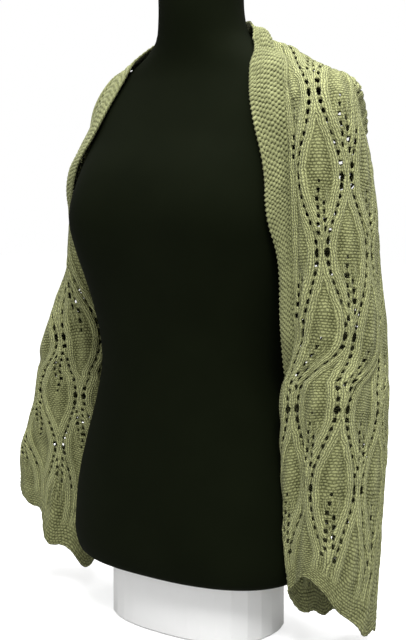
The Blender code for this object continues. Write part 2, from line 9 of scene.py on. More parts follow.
import bmesh
import bpy
import numpy as np
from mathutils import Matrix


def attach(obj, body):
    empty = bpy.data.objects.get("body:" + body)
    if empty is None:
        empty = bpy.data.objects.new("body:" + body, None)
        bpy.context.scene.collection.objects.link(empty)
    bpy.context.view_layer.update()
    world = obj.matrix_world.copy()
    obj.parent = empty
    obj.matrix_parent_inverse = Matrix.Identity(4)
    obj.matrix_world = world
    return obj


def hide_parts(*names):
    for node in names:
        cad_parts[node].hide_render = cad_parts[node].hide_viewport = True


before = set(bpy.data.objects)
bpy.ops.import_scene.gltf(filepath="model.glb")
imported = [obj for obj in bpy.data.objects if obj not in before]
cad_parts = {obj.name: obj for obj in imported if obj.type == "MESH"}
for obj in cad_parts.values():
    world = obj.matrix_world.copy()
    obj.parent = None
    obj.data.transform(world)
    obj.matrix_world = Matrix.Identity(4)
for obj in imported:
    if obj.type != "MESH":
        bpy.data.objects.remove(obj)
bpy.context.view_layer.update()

MM = 0.001
CLEAR = 6.5 * MM            # middle of the cloth to the form
THICK = 2.2 * MM            # the knitted cloth itself
HALF_LENGTH = 0.83          # centre back to cuff
STRIP_WIDTH = 0.47          # band seam to lower edge, laid flat
BAND_WIDTH = 0.049
COLUMNS = 16                # lace columns across the strip
REPEAT = 0.238              # length of one lace repeat, in half lengths
LAST_CROSSING = 0.952       # where the odd columns close nearest the cuff
UNDERARM = 0.672            # where the opening ends and the sleeve seam starts
BAND_TIP = UNDERARM - 0.004     # the moss stitch runs out just above it
TURN_IN = 0.0112            # rib line to column line where they meet, of the width
SCALLOP = {"left": 0.0030, "right": 0.0065}   # half the height of the cuffs' waves
ROUND_TIP = 0.9             # how round the waves' tips are
CUFF_DROP = 0.007           # the fine cloth hangs a little longer between the waves

ROWS = 296                  # grid rows from the centre back to the cuff
EDGE_LINES = (0.0, 1.8, 3.6)   # grid lines beside each rib line, in millimetres
INNER_CELLS = 16            # grid cells between them
COLUMN_CELLS = INNER_CELLS + 2 * (len(EDGE_LINES) - 1)
BAND_ROWS = 340
BAND_CELLS = 36
FORM_SIDES = 112

WALE = 5.0                  # width of a stitch, in millimetres
COURSE = 4.4                # height of a stitch
SEED_ACROSS = 4.6           # distance between the seeds of the moss stitch
SEED_ALONG = 3.3
SEED_SLANT = -0.32          # how far their rows slope
SEED_HEIGHT = 1.5
BACK_SNUG = 0.52            # size of the eyelets on the sleeves' loosely hanging backs
BACK_OF_SLEEVE = 0.28       # where the back leaves the body
OPEN_REACH = 0.64           # grid points nearer than this share of the radii are taken out
LAST_EYELET = {"left": 0.945, "right": 0.905}    # past this the cuffs are closed knitting
ROPE_WIDTH = 10.0           # plain knit rope on each side of a rib line
ROPE_HEIGHT = 2.2
LEAF_HEIGHT = 1.5           # puffed middle of a leaf
LEAF_WIDTH = 6.0
SPINE_HEIGHT = 1.4          # upright line below a leaf
SPINE_WIDTH = 1.4
FLANK_HEIGHT = 1.3          # raised lines beside it
FLANK_PLACE = 6.6
FLANK_WIDTH = 1.8
RIM_HEIGHT = 0.35           # yarn round an eyelet
EDGING = (0.952, 0.976)     # where the lace gives way to the cuff's edging
PAINTED_SHADE_RANGE = 2.5            # height above which the knitting has no painted shade and is at its lightest
WAVER = 0.9                 # slow unevenness of the cloth
SINK = 0.6                  # how far the ground of the lace lies below the middle
CALM_FLOOR = 0.4            # least share of the relief that bunched cloth keeps
CALM_ROUNDS = 6
ON_CENTRE = 1e-6            # closer than this to the centre back counts as on it
SLOPE_STEP = 0.004

# Form: height, half width, depth in front, depth behind, centre in y, squareness, bust
FORM_ROWS = (
    (80, 158, 100, 100, 0, 2.5, 0),
    (84, 167, 110, 110, 0, 2.5, 0),
    (95, 175, 118, 118, 0, 2.5, 0),
    (155, 177, 121, 124, 0, 2.5, 0),
    (200, 171, 117, 121, 0, 2.5, 0),
    (250, 160, 111, 116, 0, 2.4, 0),
    (300, 146, 107, 108, 0, 2.3, 0),
    (350, 134, 105, 102, 0, 2.3, 0),
    (390, 136, 107, 99, 0, 2.3, 1),
    (430, 145, 112, 98, 0, 2.3, 3),
    (465, 153, 119, 97, 1, 2.3, 7),
    (500, 160, 127, 96, 2, 2.3, 12),
    (545, 163, 133, 97, 3, 2.3, 17),
    (600, 164, 122, 98, 5, 2.3, 9),
    (650, 166, 97, 92, 10, 2.3, 1),
    (690, 166, 80, 80, 16, 2.2, 0),
    (712, 158, 70, 70, 19, 2.1, 0),
    (728, 143, 62, 64, 20, 2.1, 0),
    (743, 116, 57, 60, 19, 2.1, 0),
    (758, 88, 54, 58, 16, 2.0, 0),
    (775, 68, 53, 56, 13, 2.0, 0),
    (800, 59, 54, 55, 10, 2.0, 0),
    (850, 57, 55, 55, 8, 2.0, 0),
    (894, 57, 56, 56, 8, 2.0, 0),
    (902, 52, 51, 51, 8, 2.0, 0),
)
BUST_AT = 0.80              # radians from the front
BUST_WIDTH = 0.42

# Sections of the cloth, a row per place along the strip.  Each row is a curve through
# seam, inner front, front, ridge, outer front, outer, back, inner back and lower edge,
# in millimetres.  x is measured outward, so the right side is mirrored later.
CENTRE_BACK = ((0, 84, 752), (0, 96, 715), (0, 106, 660), (0, 110, 595), (0, 108, 530),
               (0, 108, 465), (0, 112, 400), (0, 119, 335), (0, 129, 268))
LEFT_ROWS = (
    (0.000, CENTRE_BACK),
    (0.120, ((90, 38, 770), (116, 58, 757), (138, 86, 724), (132, 105, 664), (118, 108, 592),
             (108, 106, 510), (98, 107, 435), (87, 112, 355), (72, 121, 280))),
    (0.180, ((122, 10, 728), (150, 6, 732), (180, 20, 730), (201, 46, 714), (205, 76, 674),
             (187, 98, 612), (159, 105, 518), (133, 108, 420), (99, 112, 300))),
    (0.240, ((154, -24, 690), (182, -33, 690), (210, -26, 692), (228, -2, 694), (222, 30, 688),
             (206, 74, 628), (174, 100, 525), (146, 103, 420), (121, 102, 312))),
    (0.360, ((174, -42, 590), (202, -52, 592), (230, -30, 592), (250, 2, 590), (244, 36, 582),
             (222, 68, 540), (196, 98, 478), (170, 103, 400), (143, 86, 322))),
    (0.480, ((181, -46, 497), (208, -56, 500), (240, -34, 502), (257, 0, 498), (251, 34, 488),
             (233, 78, 462), (210, 112, 428), (182, 106, 382), (156, 58, 336))),
    (0.600, ((184, -44, 400), (206, -56, 404), (238, -44, 403), (261, -8, 396), (258, 36, 388),
             (241, 82, 376), (220, 108, 360), (194, 72, 344), (163, 18, 346))),
    (0.672, ((170, -28, 338), (178, -55, 346), (210, -62, 350), (247, -46, 350), (267, -6, 343),
             (262, 42, 328), (230, 90, 308), (192, 60, 300), (170, -28, 338))),
    (0.800, ((172, -18, 229), (173, -50, 239), (208, -60, 249), (246, -48, 252), (268, -8, 248),
             (264, 38, 238), (228, 90, 222), (188, 96, 214), (172, -18, 229))),
    (0.900, ((186, -12, 146), (177, -53, 160), (211, -60, 170), (248, -46, 168), (268, -8, 152),
             (260, 34, 142), (228, 82, 130), (196, 92, 126), (186, -12, 146))),
    (1.000, ((186, -10, 56), (182, -52, 92), (214, -61, 118), (247, -44, 84), (262, -8, 48),
             (256, 34, 38), (227, 76, 38), (198, 78, 38), (186, -10, 56))),
)
RIGHT_ROWS = (
    (0.000, CENTRE_BACK),
    (0.120, ((88, 38, 762), (110, 60, 748), (126, 86, 716), (118, 103, 655), (108, 105, 578),
             (100, 105, 500), (94, 106, 425), (84, 112, 350), (72, 121, 280))),
    (0.180, ((124, 2, 722), (140, 12, 728), (158, 26, 722), (174, 52, 706), (180, 80, 668),
             (170, 97, 600), (150, 104, 510), (128, 108, 415), (98, 112, 298))),
    (0.240, ((150, -28, 676), (166, -12, 684), (176, 8, 690), (194, 34, 688), (200, 66, 662),
             (188, 90, 598), (162, 100, 505), (140, 103, 410), (118, 102, 308))),
    (0.360, ((178, -56, 590), (190, -40, 592), (206, -12, 590), (228, 22, 586), (240, 52, 570),
             (226, 84, 530), (200, 104, 468), (170, 104, 392), (142, 88, 316))),
    (0.480, ((172, -22, 490), (190, -32, 494), (208, -28, 496), (225, -8, 496), (246, 20, 490),
             (262, 56, 476), (246, 98, 446), (204, 116, 388), (155, 70, 322))),
    (0.600, ((163, 16, 378), (178, -10, 374), (198, -26, 371), (222, -38, 367), (250, -42, 360),
             (283, 0, 354), (291, 56, 350), (252, 112, 340), (163, 50, 322))),
    (0.672, ((168, 18, 312), (182, -10, 315), (213, -33, 317), (249, -45, 319), (281, -14, 319),
             (295, 36, 312), (270, 96, 298), (212, 90, 284), (168, 18, 312))),
    (0.800, ((178, 22, 220), (188, -10, 227), (215, -34, 235), (250, -44, 242), (283, -38, 246),
             (306, 0, 245), (305, 52, 233), (232, 100, 210), (178, 22, 220))),
    (0.900, ((188, 20, 136), (192, -14, 150), (222, -38, 168), (256, -40, 186), (293, -50, 198),
             (317, -6, 194), (304, 56, 170), (236, 92, 134), (188, 20, 136))),
    (1.000, ((204, 12, 42), (213, -30, 62), (237, -50, 88), (266, -37, 120), (303, -43, 139),
             (324, 4, 131), (302, 62, 103), (248, 80, 58), (204, 12, 42))),
)
# Band beside the seam: along, middle, free edge, then middle and free edge of the lower band
LEFT_BANDS = (
    (0.000, (0, 79, 776), (0, 76, 799), (0, 134, 246), (0, 134, 222)),
    (0.060, (46, 61, 782), (42, 50, 800), (38, 131, 250), (38, 131, 226)),
    (0.090, (70, 47, 786), (66, 33, 788), (57, 128, 254), (57, 128, 230)),
    (0.120, (88, 27, 782), (83, 9, 766), (75, 125, 258), (76, 125, 234)),
    (0.180, (116, -7, 735), (103, -20, 714), (102, 116, 278), (104, 116, 255)),
    (0.240, (139, -38, 694), (119, -46, 686), (125, 106, 290), (128, 106, 267)),
    (0.360, (168, -58, 590), (154, -68, 590), (149, 90, 300), (152, 91, 277)),
    (0.420, (174, -62, 545), (163, -73, 545), (155, 76, 308), (158, 77, 286)),
    (0.480, (177, -56, 497), (167, -56, 497), (160, 59, 314), (163, 59, 293)),
    (0.600, (177, -51, 401), (168, -48, 401), (162, 15, 336), (161, 13, 326)),
    (0.672, (166, -27, 339), (161, -26, 340), (166, -27, 339), (161, -26, 340)),
)
RIGHT_BANDS = (
    (0.000, (0, 79, 776), (0, 76, 799), (0, 134, 246), (0, 134, 222)),
    (0.060, (46, 61, 782), (43, 52, 800), (38, 131, 250), (38, 131, 226)),
    (0.090, (69, 42, 786), (63, 16, 776), (57, 128, 254), (57, 128, 230)),
    (0.120, (87, 23, 778), (79, -5, 757), (75, 125, 258), (76, 125, 234)),
    (0.180, (115, -15, 723), (98, -34, 699), (101, 116, 276), (103, 116, 253)),
    (0.240, (133, -46, 676), (112, -61, 661), (122, 106, 286), (125, 106, 263)),
    (0.360, (168, -70, 590), (150, -78, 588), (148, 92, 293), (151, 93, 270)),
    (0.480, (170, -40, 488), (160, -54, 486), (159, 72, 299), (162, 72, 276)),
    (0.600, (161, 6, 378), (158, -6, 378), (163, 48, 312), (162, 46, 302)),
    (0.672, (164, 17, 313), (159, 16, 314), (164, 17, 313), (159, 16, 314)),
)
# Cloth laid out from the seam before it turns to the back: along, left, right (metres)
SPREAD = (
    (0.000, 0.490, 0.490),
    (0.180, 0.500, 0.490),
    (0.240, 0.515, 0.490),
    (0.360, 0.515, 0.500),
    (0.480, 0.515, 0.510),
    (0.600, 0.515, 0.510),
    (0.672, 0.530, 0.540),
    (0.800, 0.520, 0.540),
    (0.900, 0.520, 0.530),
    (1.000, 0.570, 0.570),
)
# Folds: across where it starts, across at the cuff, along it starts, along it is full,
# depth, half width
LEFT_FOLDS = (
    (0.112, 0.128, 0.62, 0.76, -9, 0.028),
    (0.300, 0.330, 0.50, 0.75, -5, 0.030),
    (0.205, 0.215, 0.42, 0.60, 4, 0.030),
    (0.560, 0.600, 0.30, 0.60, -7, 0.035),
    (0.740, 0.720, 0.35, 0.65, -6, 0.040),
    (0.660, 0.660, 0.30, 0.60, 6, 0.035),
)
RIGHT_FOLDS = (
    (0.112, 0.120, 0.55, 0.75, -6, 0.030),
    (0.300, 0.320, 0.45, 0.75, -5, 0.030),
    (0.540, 0.580, 0.30, 0.60, -9, 0.035),
    (0.720, 0.720, 0.35, 0.65, -9, 0.035),
    (0.640, 0.650, 0.30, 0.60, 6, 0.035),
)

# Eyelets on a rib line, counted from a crossing of the column on its left: share of the
# repeat, radius across and radius along in millimetres
RIB_EYELETS = (
    (0.000, 2.9, 5.6),
    (0.068, 2.5, 4.2),
    (0.127, 2.0, 4.0),
    (0.185, 1.8, 3.9),
    (0.243, 1.7, 3.9),
    (0.301, 1.7, 3.9),
    (0.359, 1.8, 3.9),
    (0.424, 2.3, 4.1),
    (0.500, 2.9, 5.6),
    (0.568, 2.5, 4.2),
    (0.627, 2.0, 4.0),
    (0.685, 1.8, 3.9),
    (0.743, 1.8, 3.9),
    (0.801, 1.9, 4.0),
    (0.860, 2.1, 4.1),
    (0.927, 2.4, 4.2),
)
# Eyelets inside a repeat, counted from its column's crossing: share, offset from the
# column's middle, radius across and radius along in millimetres
CENTRE_EYELETS = (
    (0.530, -1.2, 1.4, 3.4),
    (0.588, -2.4, 1.6, 3.6),
    (0.646, -3.2, 1.7, 3.8),
    (0.704, -3.5, 1.8, 3.9),
    (0.762, -3.6, 1.9, 4.0),
    (0.820, -3.6, 2.0, 4.1),
    (0.878, -3.5, 2.1, 4.2),
    (0.617, 2.4, 1.4, 3.5),
    (0.675, 3.1, 1.7, 3.8),
    (0.733, 3.5, 1.8, 3.9),
    (0.791, 3.6, 1.9, 4.0),
    (0.849, 3.6, 2.0, 4.1),
)
# Small creases: side, across, along, length across, length along, lean, depth in millimetres
CREASES = (
    ("left", 0.13, 0.80, 0.012, 0.16, 0.10, -3.8),
    ("left", 0.022, 0.40, 0.016, 0.15, 0.00, -4.5),
    ("left", 0.36, 0.40, 0.016, 0.10, 0.06, -3.6),
    ("left", 0.29, 0.62, 0.014, 0.10, -0.10, -3.4),
    ("left", 0.33, 0.86, 0.014, 0.12, 0.00, 2.2),
    ("left", 0.05, 0.60, 0.050, 0.020, 0.30, -3.0),
    ("left", 0.09, 0.655, 0.060, 0.018, 0.25, -3.4),
    ("left", 0.22, 0.46, 0.020, 0.09, -0.20, -2.6),
    ("left", 0.60, 0.52, 0.020, 0.10, 0.25, -2.5),
    ("left", 0.70, 0.70, 0.018, 0.12, -0.15, -2.8),
    ("left", 0.86, 0.62, 0.050, 0.020, -0.30, -2.4),
    ("right", 0.04, 0.610, 0.050, 0.015, 0.30, -3.0),
    ("right", 0.06, 0.655, 0.060, 0.015, 0.25, -3.2),
    ("right", 0.20, 0.74, 0.014, 0.13, 0.10, -2.6),
    ("right", 0.38, 0.60, 0.018, 0.12, -0.10, -2.4),
    ("right", 0.58, 0.70, 0.020, 0.13, 0.15, -2.8),
    ("right", 0.74, 0.60, 0.018, 0.10, -0.20, -2.5),
    ("right", 0.90, 0.64, 0.050, 0.018, -0.30, -2.6),
)


def through(stations, values, wanted):
    """Smooth curve through a table's values, read at the wanted stations."""
    span = np.diff(stations)
    shape = (-1,) + (1,) * (values.ndim - 1)
    slope = np.diff(values, axis=0) / span.reshape(shape)
    tangent = np.concatenate([slope[:1], (slope[1:] + slope[:-1]) / 2, slope[-1:]])
    place = np.clip(np.searchsorted(stations, wanted, side="right") - 1, 0, len(stations) - 2)
    step = span[place]
    part = ((wanted - stations[place]) / step).reshape(shape)
    step = step.reshape(shape)
    leaving = tangent[place] * step
    arriving = tangent[place + 1] * step
    return hermite(values[place], values[place + 1], leaving, arriving, part)


def ease(value, start, end):
    """Slow start and slow end from 0 to 1."""
    part = np.clip((value - start) / (end - start), 0, 1)
    return part * part * (3 - 2 * part)


def hermite(before, after, leaving, arriving, part):
    """Smooth curve between two values with a slope at each."""
    return (before * (2 * part**3 - 3 * part**2 + 1)
            + after * (3 * part**2 - 2 * part**3)
            + leaving * (part**3 - 2 * part**2 + part)
            + arriving * (part**3 - part**2))


def unit(vectors):
    """Vectors of length one."""
    return vectors / np.linalg.norm(vectors, axis=-1, keepdims=True)


# ------------------------------------------------------------------ the form
FORM_TABLE = np.array(FORM_ROWS, float)


def form_size(height):
    """The form's row of sizes at a height in metres."""
    return through(FORM_TABLE[:, 0] * MM, FORM_TABLE[:, 1:], np.atleast_1d(height))


def form_radius(angle, height):
    """Distance from the form's axis to its skin.  Angle 0 is its left, -pi/2 the front."""
    row = form_size(height)
    width = row[:, 0] * MM
    depth = np.where(np.sin(angle) < 0, row[:, 1], row[:, 2]) * MM
    power = row[:, 4]
    radius = (np.abs(np.cos(angle) / width) ** power
              + np.abs(np.sin(angle) / depth) ** power) ** (-1 / power)
    front = -math.pi / 2
    lobes = np.exp(-(((angle - front - BUST_AT) / BUST_WIDTH) ** 2))
    lobes = lobes + np.exp(-(((angle - front + BUST_AT) / BUST_WIDTH) ** 2))
    return radius + row[:, 5] * MM * lobes


def outside_form(points):
    """How far points lie outside the form, about."""
    height = np.clip(points[:, 2], 0.081, 0.899)
    centre = form_size(height)[:, 3] * MM
    reach_y = points[:, 1] - centre
    angle = np.arctan2(reach_y, points[:, 0])
    angle = np.where(angle > math.pi / 2, angle - 2 * math.pi, angle)
    reach = np.hypot(points[:, 0], reach_y)
    skin = form_radius(angle, height)
    lower = form_radius(angle, height - 0.004)
    upper = form_radius(angle, height + 0.004)
    slope = (upper - lower) / 0.008
    return (reach - skin) / np.sqrt(1 + slope * slope)


def away_from_form(spots, now):
    """Direction in which the distance to the form grows fastest."""
    grown = []
    for axis in range(3):
        moved = spots.copy()
        moved[:, axis] += 1.0 * MM
        grown.append(outside_form(moved) - now)
    return unit(np.stack(grown, axis=-1))


def clear_of_form(points, gap):
    """Push points out until they are the gap away from the form."""
    flat = points.reshape(-1, 3).copy()
    for _ in range(5):
        now = outside_form(flat)
        near = np.where(now < gap + 0.004)[0]
        if len(near) == 0:
            break
        away = away_from_form(flat[near], now[near])
        push = np.maximum(gap - now[near], 0.0)
        flat[near] = flat[near] + away * push[:, None]
    return flat.reshape(points.shape)


def laid_on_form(points, gap, share):
    """Bring points in to the gap from the form, by a share of what they are away."""
    flat = points.reshape(-1, 3).copy()
    for _ in range(4):
        now = outside_form(flat)
        pull = np.maximum(now - gap, 0.0) * 0.8
        flat = flat - away_from_form(flat, now) * pull[:, None]
    return points + (flat.reshape(points.shape) - points) * share[..., None]


# ------------------------------------------------------------------ the cloth
LATTICE_ALONG = np.linspace(0, 1.04, 131)
LATTICE_ACROSS = np.linspace(0, 1, 129)


def section_lattice(rows, spread_column):
    """Middle of the cloth on an even lattice of along and across, before folds."""
    stations = np.array([row[0] for row in rows])
    corners = np.array([row[1] for row in rows], float) * MM
    wanted = np.minimum(LATTICE_ALONG, 1.0)
    sections = through(stations, corners, wanted)
    run_out = (sections[wanted >= 1.0][:1] - through(stations, corners, np.array([0.99]))) / 0.01
    beyond = np.maximum(LATTICE_ALONG - 1.0, 0)
    sections = sections + beyond[:, None, None] * run_out
    spread_table = np.array(SPREAD)
    spread = np.interp(wanted, spread_table[:, 0], spread_table[:, spread_column])
    count = sections.shape[1]
    fine = np.linspace(0, count - 1, 241)
    lattice = []
    for along, section, laid in zip(LATTICE_ALONG, sections, spread):
        closed = along >= UNDERARM - 0.001
        if closed:
            section[0] = (section[0] + section[-1]) / 2
            section[-1] = section[0]
        curve = closed_or_open(section, fine, closed)
        length = np.concatenate([[0], np.linalg.norm(np.diff(curve, axis=0), axis=1).cumsum()])
        first = min(0.35 * laid, 0.6 * length[-1])
        distance = np.interp(LATTICE_ACROSS, (0, 0.35, 1), (0, first, length[-1]))
        spots = [np.interp(distance, length, curve[:, axis]) for axis in range(3)]
        lattice.append(np.stack(spots, axis=-1))
    return np.array(lattice)


def closed_or_open(section, fine, closed):
    """Smooth curve through a section's points; a closed one is smooth at its seam too."""
    steps = np.diff(section, axis=0)
    tangent = np.concatenate([steps[:1], (steps[1:] + steps[:-1]) / 2, steps[-1:]])
    if closed:
        tangent[0] = (steps[0] + steps[-1]) / 2
        tangent[-1] = tangent[0]
    place = np.clip(fine.astype(int), 0, len(section) - 2)
    part = (fine - place)[:, None]
    return hermite(section[place], section[place + 1], tangent[place], tangent[place + 1], part)


LATTICES = {
    "left": section_lattice(LEFT_ROWS, 1),
    "right": section_lattice(RIGHT_ROWS, 2),
}
FOLDS = {"left": LEFT_FOLDS, "right": RIGHT_FOLDS}
BANDS = {"left": LEFT_BANDS, "right": RIGHT_BANDS}
SIGN = {"left": 1.0, "right": -1.0}


def cuff_wave(side, across, along):
    """How far the cuff's waves move a point, in half lengths: arches under the odd columns."""
    wave = np.sin(math.pi * 8 * (across - 1 / 32))
    low = math.hypot(0, ROUND_TIP)
    high = math.hypot(1, ROUND_TIP)
    tip = 1 - 2 * (np.hypot(wave, ROUND_TIP) - low) / (high - low)
    return (SCALLOP[side] * tip + CUFF_DROP) / HALF_LENGTH * ease(along, 0.86, 1.0)


def catmull(before, start, end, after, part):
    """Smooth step between two lattice values."""
    return 0.5 * (2 * start + (end - before) * part
                  + (2 * before - 5 * start + 4 * end - after) * part**2
                  + (3 * start - before - 3 * end + after) * part**3)


def read_lattice(lattice, across, along):
    """Lattice position at any across and along."""
    rows = len(LATTICE_ALONG)
    columns = len(LATTICE_ACROSS)
    row = np.clip(along / LATTICE_ALONG[-1], 0, 1) * (rows - 1)
    column = np.clip(across, 0, 1) * (columns - 1)
    row_at = np.clip(row.astype(int), 0, rows - 2)
    column_at = np.clip(column.astype(int), 0, columns - 2)
    row_part = (row - row_at)[..., None]
    column_part = (column - column_at)[..., None]
    lines = []
    for row_step in (-1, 0, 1, 2):
        line_at = np.clip(row_at + row_step, 0, rows - 1)
        four = [lattice[line_at, np.clip(column_at + step, 0, columns - 1)] for step in (-1, 0, 1, 2)]
        lines.append(catmull(*four, column_part))
    return catmull(*lines, row_part)


def bare_cloth(side, across, along):
    """Middle of the cloth before its folds, x outward."""
    return read_lattice(LATTICES[side], across, along + cuff_wave(side, across, along))


def fold_height(side, across, along):
    """How far the folds lift the cloth, in metres."""
    lift = np.zeros(np.shape(across))
    for start, end, begins, full, depth, width in FOLDS[side]:
        centre = start + (end - start) * ease(along, begins, 1.0)
        lift = lift + (depth * MM * ease(along, begins, full)
                       * np.exp(-(((across - centre) / width) ** 2)))
    return lift


def meet_centre(points, along):
    """Put the centre back's points exactly on the middle plane."""
    points[..., 0] = np.where(along < ON_CENTRE, 0.0, points[..., 0])


def slope_normal(surface, across, along, limits):
    """Outward direction of a surface given as a function of across and along."""
    low, high, first, last = limits
    here = (surface(np.minimum(across + SLOPE_STEP, high), along)
            - surface(np.maximum(across - SLOPE_STEP, low), along))
    there = (surface(across, np.minimum(along + SLOPE_STEP, last))
             - surface(across, np.maximum(along - SLOPE_STEP, first)))
    return unit(np.cross(there, here))


def cloth_middle(side, across, along):
    """Middle of the folded cloth, clear of the form, x outward."""
    def bare(a, b):
        return bare_cloth(side, a, b)
    spot = bare(across, along)
    normal = slope_normal(bare, across, along, (0, 1, 0, 1))
    spot = spot + normal * fold_height(side, across, along)[..., None]
    spot = clear_of_form(spot, CLEAR)
    meet_centre(spot, along)
    return spot


def band_middle(side, lower, out, along):
    """Middle of the band, out 0 at its seam and 1 at its free edge, x outward."""
    table = BANDS[side]
    stations = np.array([row[0] for row in table])
    pick = (3, 4) if lower else (1, 2)
    middle = np.array([row[pick[0]] for row in table], float) * MM
    edge = np.array([row[pick[1]] for row in table], float) * MM
    flat_along = np.ravel(along)
    middle = through(stations, middle, flat_along).reshape(np.shape(along) + (3,))
    edge = through(stations, edge, flat_along).reshape(np.shape(along) + (3,))
    seam = cloth_middle(side, np.full(np.shape(along), 1.0 if lower else 0.0), along)
    part = out[..., None]
    start = 2 * middle - (seam + edge) / 2
    spot = seam * (1 - part) ** 2 + 2 * part * (1 - part) * start + edge * part**2
    spot = clear_of_form(spot, CLEAR)
    if side == "right" and not lower:
        share = ease(along, 0.04, 0.08) * (1 - ease(along, 0.24, 0.34)) * ease(out, 0.0, 0.35)
        spot = laid_on_form(spot, CLEAR, share)
    meet_centre(spot, along)
    return spot


# ------------------------------------------------------------------ the lace
def strip_mm(across):
    """Millimetres over the strip laid flat."""
    return across * STRIP_WIDTH / MM


def length_mm(along):
    """Millimetres along the strip laid flat."""
    return along * HALF_LENGTH / MM


def rib_at(number, along):
    """The rib line between a column and the next one: it swings from one to the other."""
    number = np.asarray(number)
    turn = np.cos(2 * math.pi * (LAST_CROSSING - along) / REPEAT)
    swing = 0.5 / COLUMNS - TURN_IN
    toward = np.where(number % 2 == 1, -1.0, 1.0)
    line = (number + 1) / COLUMNS + toward * swing * turn
    line = np.where(number < 0, 0.0, line)
    return np.where(number >= COLUMNS - 1, 1.0, line)


def share_of_repeat(side, number, along):
    """How far a place is past its column's last crossing, 0 to 1.  The strip is knitted
    in one direction from cuff to cuff, so the right side runs the other way."""
    first = np.where(np.asarray(number) % 2 == 1, LAST_CROSSING, LAST_CROSSING - REPEAT / 2)
    share = np.mod((along - first) / REPEAT, 1.0)
    if side == "right":
        share = np.mod(1.0 - share, 1.0)
    return share


def uneven(first, second, seed):
    """Soft even-handed waves between about -1 and 1, different for each seed."""
    total = np.zeros(np.shape(first))
    for number in range(1, 5):
        turn = seed * 1.7 + number * 2.4
        total = total + np.sin(first * (9 + 7 * number) * math.cos(turn) + turn
                               + second * (9 + 7 * number) * math.sin(turn)) / 4
    return total


def side_grid():
    """Across and along of every grid point on one side, and the column that each line is in."""
    along_line = np.linspace(0, 1, ROWS + 1)
    lines = []
    column_of = []
    for number in range(COLUMNS):
        start = rib_at(number - 1, along_line)
        end = rib_at(number, along_line)
        width = strip_mm(end - start)
        inner_start = EDGE_LINES[-1]
        for step in EDGE_LINES[:-1]:
            lines.append(start + step / width * (end - start))
            column_of.append(number)
        for step in range(INNER_CELLS + 1):
            place = inner_start + (width - 2 * inner_start) * step / INNER_CELLS
            lines.append(start + place / width * (end - start))
            column_of.append(number)
        for step in reversed(EDGE_LINES[1:-1]):
            lines.append(start + (width - step) / width * (end - start))
            column_of.append(number)
    lines.append(np.ones(ROWS + 1))
    column_of.append(COLUMNS - 1)
    across = np.array(lines).T
    along = np.repeat(along_line[:, None], across.shape[1], axis=1)
    return across, along, np.array(column_of)


def wanted_eyelets(side):
    """Every eyelet of one side: place along, place across and its two radii in millimetres."""
    wanted = []
    for number in range(COLUMNS):
        first = LAST_CROSSING if number % 2 == 1 else LAST_CROSSING - REPEAT / 2
        for turn in range(-1, 5):
            crossing = first - REPEAT * turn
            for share, wide, long in RIB_EYELETS:
                place = crossing + REPEAT * (share - 1)
                if number < COLUMNS - 1:
                    wanted.append((place, strip_mm(rib_at(number, place)), wide, long))
            for share, offset, wide, long in CENTRE_EYELETS:
                turned = 1 - share if side == "right" else share
                place = crossing + REPEAT * (turned - 1)
                middle = (rib_at(number - 1, place) + rib_at(number, place)) / 2
                wanted.append((place, strip_mm(middle) + offset, wide, long))
    return sorted(wanted, key=lambda item: -item[2])


def cut_eyelets(side, across, along):
    """Open the eyelets: which points go, and how much the yarn round each one stands up."""
    gone = np.zeros(across.shape, bool)
    taken = np.zeros(across.shape, bool)
    rim = np.zeros(across.shape)
    flat_across = strip_mm(across)
    flat_along = length_mm(along)
    for order, (place, centre, wide, long) in enumerate(wanted_eyelets(side)):
        row = round(place * ROWS)
        if row < 3 or place > LAST_EYELET[side] or centre < 4 or centre > STRIP_WIDTH / MM - 4:
            continue
        hanging = centre > STRIP_WIDTH / MM / 2 and place > BACK_OF_SLEEVE
        snug = BACK_SNUG if hanging else 1.0
        wide = wide * snug * (1 + 0.12 * math.sin(order * 2.4))
        long = long * snug * (1 + 0.08 * math.sin(order * 3.7))
        up = flat_along[row, 0]
        rows = slice(row - 3, row + 4)
        cells = np.where(np.abs(flat_across[row] - centre) < wide + 8)[0]
        cells = slice(cells[0], cells[-1] + 1)
        step_across = flat_across[rows, cells] - centre
        step_along = flat_along[rows, cells] - up
        reach = np.hypot(step_across / wide, step_along / long)
        inside = reach < OPEN_REACH
        inside[np.unravel_index(np.argmin(reach), reach.shape)] = True
        ring = grown(inside) & ~inside
        if (taken[rows, cells] & (ring | inside)).any() or inside[:, 0].any() or inside[:, -1].any():
            continue
        taken[rows, cells] |= ring | inside
        gone[rows, cells] |= inside
        pull = np.where(ring, 1 / np.maximum(reach, 0.2), 1.0)
        across[rows, cells] = (centre + step_across * pull) * MM / STRIP_WIDTH
        along[rows, cells] = (up + step_along * pull) * MM / HALF_LENGTH
        near = np.exp(-((np.maximum(reach - 1, 0) * 1.2) ** 2))
        rim[rows, cells] = np.maximum(rim[rows, cells], near)
    return gone, rim


def grown(mask):
    """The mask and every point next to it."""
    rows, cells = mask.shape
    wider = np.zeros((rows + 2, cells + 2), bool)
    for row_step in range(3):
        for cell_step in range(3):
            wider[row_step:row_step + rows, cell_step:cell_step + cells] |= mask
    return wider[1:-1, 1:-1]


